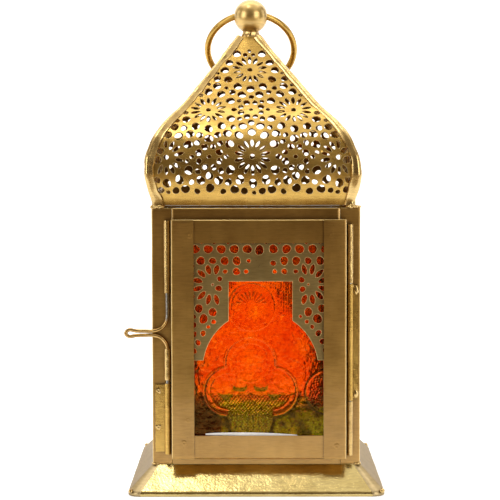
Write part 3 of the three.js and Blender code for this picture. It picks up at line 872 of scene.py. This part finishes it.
def build_glass():
    # Each pane's body, middle of its pattern, quarter turns, grid step and the top of its green foot
    panes = {"door_glass": ("door", DOOR_WINDOW_X - 4.1, 0, 0.385, 48.0)}
    for k, side in enumerate(SIDES[1:], 1):
        panes[f"glass_{side}"] = ("body", 0.0, k, 0.6, 32.0 if side == "back" else 48.0)
    for node, (body, cx, turns, step, foot_top) in panes.items():
        low, high = facing_box(node, turns)
        xs = np.linspace(low[0], high[0], int((high[0] - low[0]) / step) + 1)
        zs = np.linspace(low[2], high[2], int((high[2] - low[2]) / step) + 1)
        grid_x, grid_z = (g.ravel() for g in np.meshgrid(xs, zs))
        height, *tints = glass_relief(grid_x, grid_z, cx, foot_top)
        front = np.stack([grid_x, low[1] + 0.55 - height, grid_z], 1)
        back = np.stack([grid_x, np.full(len(grid_x), high[1]), grid_z], 1)
        columns, rows, count = len(xs), len(zs), len(grid_x)
        faces = []
        for r in range(rows - 1):
            for c in range(columns - 1):
                a = r * columns + c
                quad = (a, a + 1, a + columns + 1, a + columns)
                faces += [quad, tuple(count + i for i in reversed(quad))]
        border = [*range(columns - 1), *range(columns - 1, count - 1, columns)]
        border += [*range(count - 1, count - columns, -1), *range(count - columns, 0, -columns)]
        for a, b in zip(border, border[1:] + border[:1]):
            faces.append((b, a, a + count, b + count))
        shape = turn_shape((np.concatenate([front, back]), faces), turns)
        pane = add_piece(f"pressed_{node}", shape, body, GLASS, [node], 60)
        for name, tint in zip(("foot", "green", "dark", "painted_glint"), tints):
            attribute = pane.data.attributes.new(name, "FLOAT", "POINT")
            attribute.data.foreach_set("value", np.tile(tint, 2).astype(np.float32))


# Base, cup and frame


def build_base():
    """Sloped strips with a rolled lip, beaten and lumpy; the side ones wrap round the corners."""
    half, top = -cad("base_skirt_front")[0][1], cad("base_skirt_front")[1][2]
    body = -cad("corner_post_front_left")[0][1]
    skin = [(half - 0.3, 0), (half, 0.35), (half, 1.4), (half - 0.25, 2.2), (half - 0.9, 2.85)]
    start = skin[-1]
    slope = np.linspace(0, 1, 15)[1:]
    skin += [(start[0] + (body - start[0]) * t, start[1] + (top - start[1]) * t) for t in slope]
    back = [(body - 0.9, top - 0.5), (half - 1.6, 2.1), (half - 0.9, 1.4), (half - 0.9, 0)]
    profile = np.array(skin + back)
    radius = 6 - 3 * clamp((profile[:, 1] - 2.3) / (top - 2.3))
    for k, side in enumerate(SIDES):
        wraps = side in ("right", "left")
        rings = []
        steps = [(t, 0.0) for t in np.linspace(-1, 1, 150)]
        if wraps:
            bends = np.linspace(0, math.pi / 2, 14)
            steps = [(-1, -a) for a in bends[::-1]] + steps[1:-1] + [(1, a) for a in bends]
        for t, bend in steps:
            straight = (profile[:, 0] - radius) - (0 if wraps else MITRE_GAP)
            x = t * straight + radius * math.sin(bend)
            y = -(straight + radius * math.cos(bend)) if wraps else -profile[:, 0]
            ring = np.stack([x, y, profile[:, 1]], 1)
            spots = turn_z(ring, k)
            lumps = 0.08 * value_noise(spots, 9, 31) + 0.03 * value_noise(spots, 2.4, 35)
            lumps[len(skin) :] = 0
            lumps[:2] = 0
            ring[:, 0] += lumps * 0.7 * math.sin(bend)
            ring[:, 1] -= lumps * 0.7 * math.cos(bend)
            ring[:, 2] += lumps * 0.7 * (ring[:, 2] > 2.5)
            rings.append(ring)
        # The side skirts take the darker, greyer paint: painted shade and reflection.
        shape, paint = turn_shape(loft(rings), k), SHADED_SIDE_GOLD if wraps else BASE_GOLD
        add_piece(f"beaten_skirt_{side}", shape, "body", paint, [f"base_skirt_{side}"], 50)


def build_pane_strip():
    """A sliver of bright tin that packs the foot of the door pane."""
    pane_front = cad("door_glass")[0][1]
    rings = []
    for t in np.linspace(0, 1, 40):
        x = DOOR_WINDOW_X - 25.6 + 44.0 * t
        height = 1.5 * math.sin(math.pi * (0.04 + 0.92 * t)) ** 0.4
        bottom, front = WINDOW_BOTTOM + 1.0 - 0.7 * t, pane_front - 0.75 + 0.12 * math.sin(t * 13)
        section = [(0, 0), (0.15, height), (0.4, height - 0.1), (0.3, 0)]
        rings.append(np.array([(x, front + back, bottom + up) for back, up in section]))
    add_piece("pane_strip", loft(rings), "door", TIN, sharp=50)


def build_cup():
    low, high = cad("candle_cup")
    rim, z0, z1 = high[0], low[2], high[2]
    wall = [(0, z0), (rim - 4.2, z0), (rim - 3, z0 + 0.5), (rim - 1.2, z1 - 1.1)]
    bead = [around((rim - 0.55, z1 - 0.55), 0.55, a) for a in np.linspace(-1.4, 3.6, 9)]
    lining = [(rim - 1.9, z1 - 1.2), (rim - 3.6, z0 + 0.9), (rim - 4.5, z0 + 0.6)]
    floor = [(8, z0 + 0.6), (7.6, z0 + 0.95), (6.9, z0 + 0.95), (6.5, z0 + 0.6), (0, z0 + 0.6)]
    shape = lathe(wall + bead + lining + floor, 96)
    add_piece("saucer", shape, "body", TIN, ["candle_cup"], 60)


def rounded_bend(points, radius):
    """An open outline with its inner corners rounded."""
    points = [np.array(p, float) for p in points]
    out = [points[0]]
    for before, corner, after in zip(points, points[1:], points[2:]):
        first = corner + (before - corner) / np.linalg.norm(before - corner) * radius
        last = corner + (after - corner) / np.linalg.norm(after - corner) * radius
        for t in np.arange(6) / 5:
            out.append((1 - t) ** 2 * first + 2 * t * (1 - t) * corner + t * t * last)
    return np.array(out + [points[-1]])


def folded_sheet(points, radius, low, high):
    """Sheet folded along an outline, its thickness to the left, and swept from low to high."""
    outer = rounded_bend(points, radius)
    out = outward(outer)
    chamfer = 0.12
    middle = np.linspace(low + 1.5, high - 1.5, int((high - low) / 2.5))
    rings = []
    for end in (low, low + chamfer, *middle, high - chamfer, high):
        shrink = chamfer if end in (low, high) else 0.0
        ring = np.concatenate([outer - out * shrink, (outer - out * (SHEET - shrink))[::-1]])
        way = np.concatenate([out, out[::-1]])
        waves = np.column_stack([ring, np.full(len(ring), end)])
        push = 0.07 * value_noise(waves, 15, 17) + 0.03 * value_noise(waves, 5, 18)
        rings.append(np.column_stack([ring + way * push[:, None], waves[:, 2]]))
    return loft(rings)


def add_folded(name, shape, body, node):
    """A folded sheet in gold paint, lighter along its bends and ends with edge wear and painted highlight."""
    piece = add_piece(name, shape, body, GOLD_PAINT, [node], 50)
    piece.data.materials.append(WEAR_AND_HIGHLIGHT_GOLD)
    for face in piece.data.polygons:
        if sorted(abs(n) for n in face.normal)[1] > 0.45:
            face.material_index = 1


def lay_along_x(shape):
    """Turns a sheet swept along Z, drawn in (Y, Z), so that it runs along X."""
    vertices, faces = shape
    return vertices[:, [2, 0, 1]], faces


def build_posts_and_rails():
    low, high = cad("corner_post_front_left")
    outline = [(high[0], low[1]), (low[0], low[1]), (low[0], high[1])]
    post = folded_sheet(outline[::-1], 0.9, low[2], high[2])
    for k, corner in enumerate(CORNERS):
        add_folded(f"folded_post_{corner}", turn_shape(post, k), "body", f"corner_post_{corner}")
    low, high = cad("top_rail_front")
    outline = [(low[1], low[2]), (low[1], high[2]), (high[1], high[2])]
    rail = lay_along_x(folded_sheet(outline[::-1], 0.9, low[0], high[0]))
    for k, side in enumerate(SIDES):
        add_folded(f"folded_rail_{side}", turn_shape(rail, k), "body", f"top_rail_{side}")


def build_door_frame():
    for side in ("left", "right"):
        low, high = cad(f"door_stile_{side}")
        outer, inner = (low[0], high[0]) if side == "left" else (high[0], low[0])
        outline = [(outer, high[1]), (outer, low[1]), (inner, low[1])]
        if side == "right":
            outline = outline[::-1]
        stile = folded_sheet(outline, 1.0, low[2], high[2])
        add_folded(f"folded_stile_{side}", stile, "door", f"door_stile_{side}")
    for edge in ("top", "bottom"):
        low, high = cad(f"door_rail_{edge}")
        outer, inner = (high[2], low[2]) if edge == "top" else (low[2], high[2])
        outline = [(high[1], outer), (low[1], outer), (low[1], inner)]
        if edge == "bottom":
            outline = outline[::-1]
        rail = lay_along_x(folded_sheet(outline, 1.0, low[0], high[0]))
        add_folded(f"folded_door_rail_{edge}", rail, "door", f"door_rail_{edge}")


def dress_frame():
    """Small flat pieces keep their CAD shape, with softened edges and paint."""
    for name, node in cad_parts.items():
        if node.hide_render:
            continue
        node.data.materials.clear()
        if name.startswith(("door_clip", "hinge_pin")):
            node.data.materials.append(STEEL)
        else:
            # The deck, ledges and back rail take the pale paint: painted light inside the lantern.
            inner = name.startswith(("deck", "pane_ledge", "bottom_rail_back"))
            node.data.materials.append(LIT_INNER_PAINT if inner else GOLD_PAINT)
        add_bevel(node, 0.15)


# Hinge and latch


def rolled_tube(place, bore, low, high, lumps, seed):
    """A tube rolled from strip, with a fine open seam behind and paint lumps on it."""
    rings = []
    heights = np.linspace(low, high, max(6, int((high - low) / 0.8)))
    outline = [(TUBE_RADIUS, z) for z in heights] + [(bore, z) for z in heights[::-1]]
    seam = math.radians(4)
    for angle in math.pi / 2 + np.linspace(seam, 2 * math.pi - seam, 33):
        c, s = math.cos(angle), math.sin(angle)
        ring = np.array([(place[0] + r * c, place[1] + r * s, z) for r, z in outline])
        swell = lumps * (value_noise(ring, 3.0, seed) + 0.5 * value_noise(ring, 1.3, seed + 1))
        swell[len(heights) :] = 0
        ring[:, 0] += c * swell
        ring[:, 1] += s * swell
        rings.append(ring)
    return loft(rings)


def build_tubes():
    """The tubes on the door, some lumpier than others."""
    lumps = {
        "hinge_knuckle_top": 0.14, "hinge_knuckle_bottom": 0.07,
        "latch_guide_lower": 0.1, "latch_guide_upper": 0.05,
    }
    for k, node in enumerate(lumps):
        low, high = cad(node)
        place = (low[:2] + high[:2]) / 2
        bore = PIN_BORE if node.startswith("hinge") else WIRE_BORE
        shape = rolled_tube(place, bore, low[2], high[2], lumps[node], 50 + 3 * k)
        if node == "latch_guide_upper":
            neck, top = low[2] + 7, high[2]
            shoulder = lathe([(1.3, neck), (1.62, neck + 0.2), (1.62, top), (1.3, top)], 32, place)
            shape = merge(shape, shoulder)
        add_piece(f"rolled_{node}", shape, "door", SOLDER_GOLD, [node], 45)


def build_post_tubes():
    """The tubes on the posts, each with the leaf it was rolled from."""
    tubes = [("latch_keeper", "latch_guide_lower", 70), ("hinge_leaf_middle", "hinge_knuckle_top", 74)]
    for node, partner, seed in tubes:
        place = np.mean(cad(partner), axis=0)[:2]
        low, high = cad(node)
        tube = rolled_tube(place, WIRE_BORE, low[2], high[2], 0.05, seed)
        away = -1 if place[0] < 0 else 1
        edge = low[0] if away < 0 else high[0]
        heights = np.linspace(low[2] + 1, high[2] - 0.6, 40)
        rings = []
        for z in heights:
            wobble = 0.12 * math.sin(z * 1.3) + 0.08 * math.sin(z * 3.1)
            xs = np.linspace(place[0] + away * 0.9, edge - away * (0.15 + wobble * 0.6), 5)
            front = [(x, LEAF_FRONT + 0.08 * math.sin(z * 0.9 + x * 2), z) for x in xs]
            rings.append(np.array(front + [(x, LEAF_BACK, z) for x in xs[::-1]]))
        add_piece(f"rolled_{node}", merge(tube, loft(rings)), "body", BRIGHT_GOLD, [node], 45)


def build_latch_wire():
    low, high = cad("latch_wire")
    x, y = np.mean(cad("latch_guide_lower"), axis=0)[:2]
    bend = [(0, 8.6), (-0.7, 5.2), (-3.2, 2.2), (-7, 1.02), (-11, 1.0), (-15, 1.1), (-18.4, 1.6)]
    upper = [(x + u, y, HANDLE_Z + v) for u, v in bend]
    lower = [(x + u, y, HANDLE_Z - v) for u, v in reversed(bend)]
    route = [(x, y, high[2]), (x, y, 105), (x, y, 92), *upper, (x - 20, y, HANDLE_Z), *lower]
    route += [(x, y, 62), (x, y, 52), (x, y, low[2])]
    shape = sweep(smooth_path(route, 9), LATCH_RADIUS)
    add_piece("bent_latch_wire", shape, "latch", WIRE, ["latch_wire"], 60)


# Finial and ring


def build_finial():
    """A ball with a cross bore, on a stem set in a mound of solder."""
    low, high = cad("finial_ball")
    radius = (high[1] - low[1]) / 2
    centre = high[2] - radius
    bore = 2.7
    start = math.asin(bore / radius)
    mouth = radius * math.cos(start) * 0.97
    outline = [around((0, 0), radius, a) for a in np.linspace(start, math.pi - start, 48)]
    outline += [(x, bore - 0.02) for x in np.linspace(-mouth, mouth, 9)]
    vertices, faces = lathe([(r, x) for x, r in outline], 96)
    middle = np.array([FINIAL_X, 0, centre])
    vertices = middle + vertices[:, [2, 0, 1]]
    out = vertices - middle
    length = np.linalg.norm(out, axis=1)
    dent = np.where(length > radius * 0.98, 0.05 * value_noise(vertices, 4, 41), 0)
    vertices = middle + out * (1 + dent / length)[:, None]
    place = (FINIAL_X, 0)
    stem_top = centre - bore - 1.6
    stem = lathe([(0, 214), (2.1, 214), (2.1, stem_top), (0, stem_top)], 24, place)
    shape = merge((vertices, faces), stem)
    add_piece("finial", shape, "body", FINIAL_GOLD, ["finial_ball"], 50)
    profile = [(2.5, 217.6), (6.4, 216.4), (6.3, 218.4), (5.4, 220.6), (4.6, 222.4), (4.3, 223.8)]
    profile += [(3.4, 224.3), (2.5, 224)]
    vertices, faces = lathe(smooth_path(profile, 4), 56, place)
    lumps = 0.45 * value_noise(vertices, 2.4, 43) + 0.22 * value_noise(vertices, 1.1, 44)
    out = vertices[:, :2] - np.array(place)
    reach = np.hypot(out[:, 0], out[:, 1])
    grow = np.where(reach > 3.2, lumps, 0)
    vertices[:, :2] += out * (grow / np.maximum(reach, 0.1))[:, None]
    add_piece("finial_solder", (vertices, faces), "body", SOLDER_GOLD, ["finial_collar"], 60)


def build_ring():
    """A wire ring, a little uneven, where the CAD ring lies."""
    low, high = cad("carry_ring")
    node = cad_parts["carry_ring"]
    points = np.array([v.co for v in node.data.vertices]) / MM
    centre = points.mean(0)
    across = (high[0] - low[0]) / 2
    down = points[np.argmin(points[:, 2])] - centre
    down[0] = 0
    down /= np.linalg.norm(down)
    side = np.array([1.0, 0, 0])
    normal = np.cross(side, down)
    rings = []
    for a in full_turn(120):
        out = math.cos(a) * side + math.sin(a) * down
        middle = centre + (across - RING_RADIUS) * out
        wobble = 1 + 0.025 * noise_at(middle, 5, 61)
        rings.append(wire_ring(middle, RING_RADIUS * wobble, out, normal))
    shape = loft(rings, joined=True)
    add_piece("carrying_ring", shape, "ring", BRIGHT_GOLD, ["carry_ring"], 60)


# Solder blobs and spot welds


def blob(centre, size, seed):
    """A lump of solder: a squashed ball with an uneven skin."""
    across = np.stack([np.cos(full_turn(18)), np.sin(full_turn(18)), np.zeros(18)], 1)
    polar = math.pi * np.arange(1, 12) / 12
    vertices, faces = loft([math.sin(p) * across + (0, 0, math.cos(p)) for p in polar])
    vertices = vertices * (1 + 0.25 * value_noise(vertices * 2 + seed * 3.7, 1.0, seed))[:, None]
    return vertices * np.array(size) + np.array(centre), faces


def weld_dimple(centre, radius, seed):
    """A spot weld seen from the front: a shallow, ragged ring raised round a dip."""
    rings = []
    outline = [(1.3, 0.0), (0.95, 0.04), (0.65, 0.09), (0.42, 0.07), (0.2, 0.03), (0.03, 0.02)]
    circle = np.stack([np.cos(full_turn(24)), np.zeros(24), np.sin(full_turn(24))], 1)
    ragged = 1 + 0.3 * value_noise(circle * 2 + seed * 5.1, 1.0, seed)
    for share, height in outline:
        rings.append(circle * (ragged * share * radius)[:, None] + np.array(centre) - (0, height, 0))
    rings.append(rings[-1] + np.array([0, 0.5, 0]))
    rings.insert(0, rings[0] + np.array([0, 0.3, 0]))
    return loft(rings)


def build_solder():
    blobs = []
    body_low, body_high = cad("corner_post_front_left")
    half, top, bottom = -body_low[0], body_high[2], body_low[2]
    base = -cad("base_skirt_front")[0][1]
    for k, (sx, sy) in enumerate([(-1, -1), (1, -1), (1, 1), (-1, 1)]):
        for j in range(5):
            shift = noise_at((k * 9.0 + j * 3.3, j * 5.0, 1.0), 1.7, 80 + j)
            inward = 0.8 + j * 1.1
            size = (1.5 + 0.5 * shift, 1.5 - 0.4 * shift, 1.0 + 0.5 * shift)
            blobs.append(blob((sx * (half - inward), sy * (half - 0.9), top + 0.5), size, 10 * k + j))
        blobs.append(blob((sx * (half - 1), sy * (half - 1), bottom + 0.1), (1.6, 1.6, 0.8), 60 + k))
        blobs.append(blob((sx * (half - 2.6), sy * (half - 0.6), bottom), (1.4, 0.9, 0.6), 64 + k))
        blobs.append(blob((sx * (base - 1.4), sy * (base - 1.4), 2.6), (1.2, 1.2, 1.0), 68 + k))
    add_piece("solder_lumps", merge(*blobs), "body", SOLDER_GOLD, sharp=60)


def build_welds():
    low, high = cad("door_stile_left")[0], cad("door_stile_right")[1]
    front = low[1]
    marks = [
        (low[0] + 8.8, high[2] - 7.4), (high[0] - 7.3, high[2] - 7.4), (low[0] + 5.9, low[2] + 8.0),
        (high[0] - 4.5, low[2] + 6.4), (low[0] + 7.8, low[2] + 18.8),
    ]
    dimples = [weld_dimple((x, front, z), 1.2, k) for k, (x, z) in enumerate(marks)]
    add_piece("door_welds", merge(*dimples), "door", GOLD_PAINT, sharp=60)
    low, high = cad("latch_keeper")
    dimples = [weld_dimple((low[0] + 1.7, LEAF_FRONT, z), 1.1, 9) for z in (high[2] - 3.5, low[2] + 13)]
    low, high = cad("hinge_leaf_middle")
    spots = ((90, high[2] - 3), (91, low[2] + 3))
    lumps = [blob((high[0] - 1.2, -50.7, z), (1.4, 0.9, 2.2), seed) for seed, z in spots]
    knuckle_edge = cad("hinge_knuckle_top")[1][0]
    lumps.append(blob((knuckle_edge - 0.6, -50.9, high[2] - 1.2), (1.0, 0.7, 1.0), 95))
    add_piece("post_welds", merge(*dimples, *lumps), "body", SOLDER_GOLD, sharp=60)


# Stage


def build_stage():
    """A sweep of pale paper: floor, curve and wall, in metres."""
    edge, wall, curve, top = -0.32, 1.1, 0.5, 2.2
    profile = [(edge, 0), (wall - curve, 0)]
    for a in np.linspace(0, math.pi / 2, 14)[1:]:
        profile.append((wall - curve + curve * math.sin(a), curve - curve * math.cos(a)))
    profile.append((wall, top))
    vertices = [(x, y, z) for y, z in profile for x in (-1.6, 1.6)]
    faces = [(2 * i, 2 * i + 1, 2 * i + 3, 2 * i + 2) for i in range(len(profile) - 1)]
    mesh = bpy.data.meshes.new("paper_sweep")
    mesh.from_pydata(vertices, [], faces)
    mesh.materials.append(plain_paper("paper"))
    mesh.shade_smooth()
    add_object("paper_sweep", mesh)


def add_softbox(name, place, aim, size, glow):
    """An area light; glow is how bright its face looks."""
    data = bpy.data.lights.new(name, "AREA")
    data.shape = "RECTANGLE"
    data.size, data.size_y = size
    data.energy = glow * math.pi * size[0] * size[1]
    light = add_object(name, data)
    light.location = place
    light.rotation_euler = (Vector(aim) - Vector(place)).to_track_quat("-Z", "Y").to_euler()


def build_lights():
    """Soft lights placed in metres, and a dim warm room that is white to the camera only."""
    target = (0, 0, 0.12)
    add_softbox("overhead", (0.0, 0.1, 1.5), (0, 0.1, 0), (2.6, 2.2), 0.76)
    add_softbox("backdrop_wash", (0.0, 0.3, 1.7), (0, 1.1, 0.3), (2.4, 0.5), 2.5)
    add_softbox("key_left", (-0.27, -0.43, 1.4), target, (0.3, 0.3), 7.0)
    add_softbox("front_left", (-1.25, -1.05, 0.5), target, (0.8, 1.0), 3.0)
    add_softbox("front_right", (1.0, -1.15, 0.5), target, (0.9, 1.1), 3.0)
    add_softbox("side_left", (-1.5, 0.2, 0.5), target, (0.6, 1.1), 1.4)
    add_softbox("side_right", (1.5, 0.2, 0.5), target, (0.6, 1.1), 1.4)
    world = bpy.data.worlds.new("studio")
    world.use_nodes = True
    tree = world.node_tree
    way = add_node(tree, "ShaderNodeTexCoord").outputs["Generated"]
    height = add_node(tree, "ShaderNodeSeparateXYZ", Vector=way).outputs[2]
    level = add_node(tree, "ShaderNodeMapRange", Value=height, From_Min=-0.3, From_Max=0.5).outputs[0]
    warm, brown, dim, ceiling = (0.5, 0.38, 0.24), (0.2, 0.14, 0.085), (0.09, 0.058, 0.034), (0.3, 0.25, 0.19)
    room = ramp(tree, level, (0.05, warm), (0.3, brown), (0.38, dim), (0.6, dim), (1.0, ceiling))
    seen = add_node(tree, "ShaderNodeLightPath").outputs["Is Camera Ray"]
    tree.links.new(mix(tree, seen, room, (1, 1, 1)), tree.nodes["Background"].inputs[0])
    bpy.context.scene.world = world


def build_camera():
    data = bpy.data.cameras.new("camera")
    data.lens = CAMERA_LENS
    data.sensor_width = 36.0
    camera = add_object("camera", data)
    camera.location = CAMERA_PLACE
    camera.rotation_euler = [math.radians(a) for a in CAMERA_TURN]
    bpy.context.scene.camera = camera
    bpy.context.scene.view_settings.view_transform = "Standard"


build_camera()
build_roof_panels()
build_roof_hips()
build_fretwork()
build_glass()
build_base()
build_pane_strip()
build_cup()
build_posts_and_rails()
build_door_frame()
build_tubes()
build_post_tubes()
build_latch_wire()
build_finial()
build_ring()
build_solder()
build_welds()
dress_frame()
build_stage()
build_lights()
